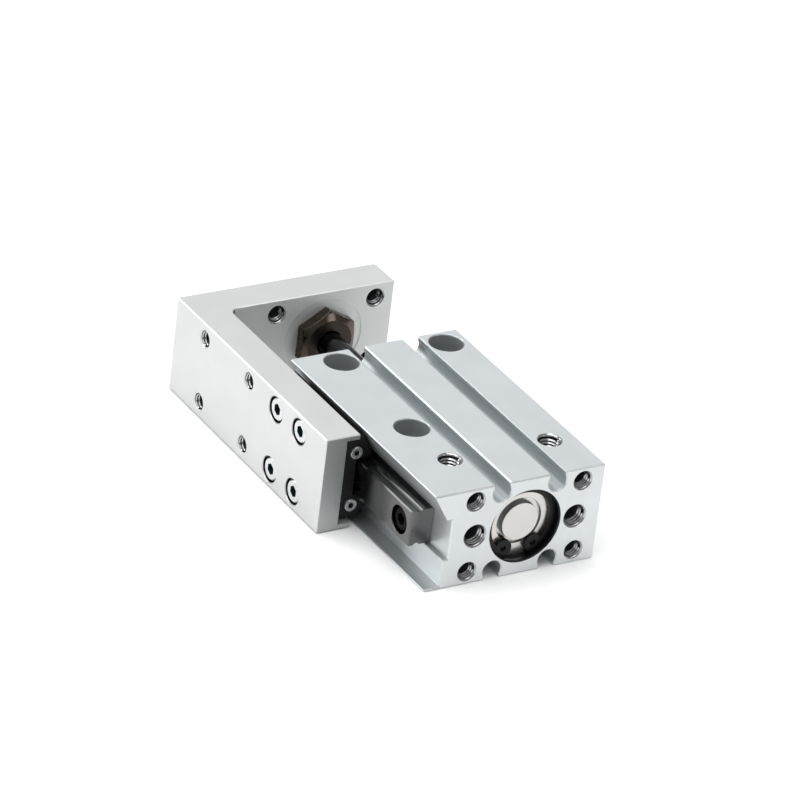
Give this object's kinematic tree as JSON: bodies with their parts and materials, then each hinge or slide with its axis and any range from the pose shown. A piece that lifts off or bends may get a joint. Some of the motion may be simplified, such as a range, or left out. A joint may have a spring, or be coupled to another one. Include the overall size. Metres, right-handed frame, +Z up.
{
  "type": "pneumatic slide table",
  "caption": "Compact pneumatic slide table: a cylinder body with a side ball guide carries an L-shaped table on its rod.",
  "frame": {"origin": "where the cylinder axis meets the rear face of the body, the centre of the rear bolt pattern", "axes": "+Y the way the table extends, +Z up from the mounting face, -X the guide side"},
  "size_m": [0.0549, 0.1011, 0.0244],
  "materials": {
    "anodised_body": "clear anodised, satin",
    "turned_cover": "turned, fine rings",
    "milled_table": "milled and clear anodised",
    "spring_steel": "phosphated, black",
    "nitrile": "moulded, matt",
    "bumper_rubber": "moulded, matt",
    "sintered_bronze": "sintered, oil filled",
    "rail_steel": "hardened and ground",
    "black_screw_steel": "black oxide",
    "bright_screw_steel": "bright, turned",
    "bright_ball_steel": "polished",
    "bronzed_steel": "dark bronzed",
    "ground_rod_steel": "ground and plated",
    "black_plastic": "moulded, matt",
    "magnet_compound": "moulded, matt",
    "wear_plastic": "moulded, matt"
  },
  "bodies": {
    "body": {"cylinder_body": "anodised_body", "head_cover": "turned_cover", "head_cover_oring": "nitrile", "head_retaining_ring": "spring_steel", "head_bumper": "bumper_rubber", "rod_cover": "turned_cover", "rod_cover_oring": "nitrile", "rod_cover_retaining_ring": "spring_steel", "rod_seal": "nitrile", "rod_bushing": "sintered_bronze", "rod_bumper": "bumper_rubber", "guide_rail": "rail_steel", "rail_screws": "black_screw_steel"},
    "table": {"slide_table": "milled_table", "carriage_block": "rail_steel", "rear_end_cap": "black_plastic", "front_end_cap": "black_plastic", "rear_end_seal": "nitrile", "front_end_seal": "nitrile", "end_cap_screws": "bright_screw_steel", "guide_balls": "bright_ball_steel", "table_screws": "bright_screw_steel", "floating_bushing": "bronzed_steel", "piston_rod": "ground_rod_steel", "piston": "turned_cover", "piston_seal": "nitrile", "piston_magnet": "magnet_compound", "piston_wear_ring": "wear_plastic", "piston_nut": "bright_screw_steel"}
  },
  "joints": [
    {"name": "table_slide", "type": "slide", "parent": "body", "child": "table", "axis": [0, 1, 0], "range_m": [-0.025, 0]}
  ]
}
